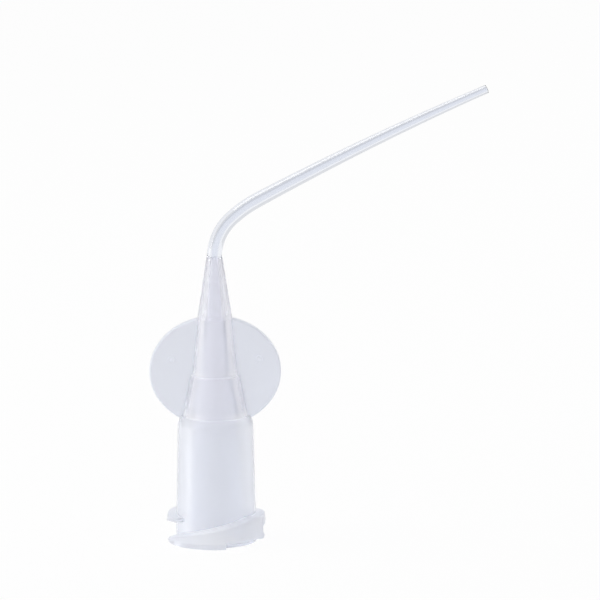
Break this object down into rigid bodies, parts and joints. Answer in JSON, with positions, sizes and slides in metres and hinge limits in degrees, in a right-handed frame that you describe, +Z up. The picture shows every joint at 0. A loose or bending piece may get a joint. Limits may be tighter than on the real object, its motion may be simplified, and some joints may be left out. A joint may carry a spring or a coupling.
{
  "type": "dispensing needle tip",
  "caption": "Translucent one-piece plastic dispensing tip with a locking taper hub, a round grip tab and a fine tapered nozzle bent to one side.",
  "frame": {"origin": "centre of the hub's open end face, on the axis of the taper socket", "axes": "+Z up the hub towards the nozzle, +X the way that the nozzle bends, and the grip tab lies in the XZ plane with its marked side towards -Y"},
  "size_m": [0.0271, 0.0078, 0.0369],
  "materials": {
    "natural_polypropylene": "translucent, smooth and slightly milky, with a cool grey tint"
  },
  "bodies": {
    "root": {"needle_tip": "natural_polypropylene"}
  },
  "joints": []
}
